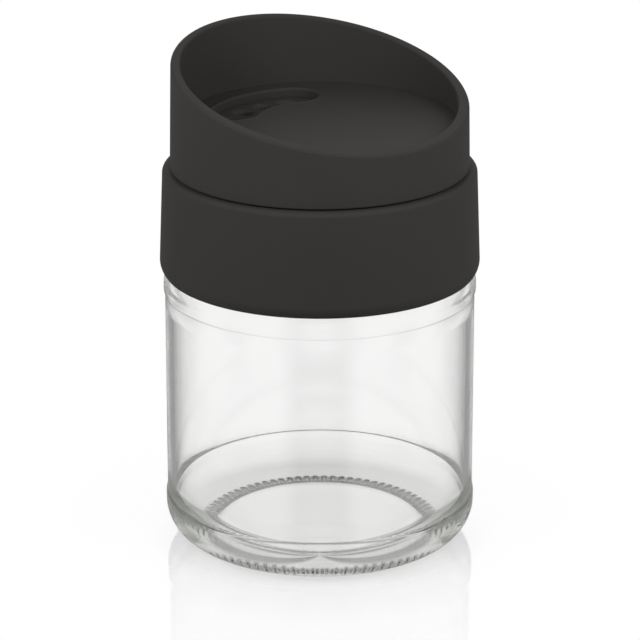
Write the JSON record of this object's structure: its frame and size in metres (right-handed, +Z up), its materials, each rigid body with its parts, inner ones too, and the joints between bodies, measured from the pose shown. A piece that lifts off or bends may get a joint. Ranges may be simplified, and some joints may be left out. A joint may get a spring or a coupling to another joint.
{
  "type": "spice jar",
  "caption": "Round clear glass jar with a charcoal screw lid; a turning top with a slanted rim and a kidney-shaped slot lets spice sprinkle or pour.",
  "frame": {"origin": "centre of the base, on the surface that the jar stands on", "axes": "+Z up along the jar's axis; the camera of the picture looks along +Y; the rim's high side faces 128 degrees from +X towards +Y, and the slot's middle 137 degrees"},
  "size_m": [0.0804, 0.0804, 0.128],
  "materials": {
    "glass": "clear soda-lime glass, fire polished",
    "seal": "soft off-white sealing foam",
    "lid_plastic": "charcoal, fine matt"
  },
  "bodies": {
    "jar": {"glass_jar": "glass"},
    "seal": {"sealing_ring": "seal"},
    "lid": {"lid_body": "lid_plastic"},
    "top": {"turning_top": "lid_plastic"}
  },
  "joints": [
    {"name": "lid_lift", "type": "slide", "parent": "jar", "child": "seal", "axis": [0, 0, 1], "range_m": [0, 0.036]},
    {"name": "lid_unscrew", "type": "hinge", "parent": "seal", "child": "lid", "pos_m": [0, 0, 0.0957], "axis": [0, 0, 1], "range_deg": [0, 360]},
    {"name": "top_twist", "type": "hinge", "parent": "lid", "child": "top", "pos_m": [0, 0, 0.1077], "axis": [0, 0, 1], "range_deg": [0, 180]}
  ]
}
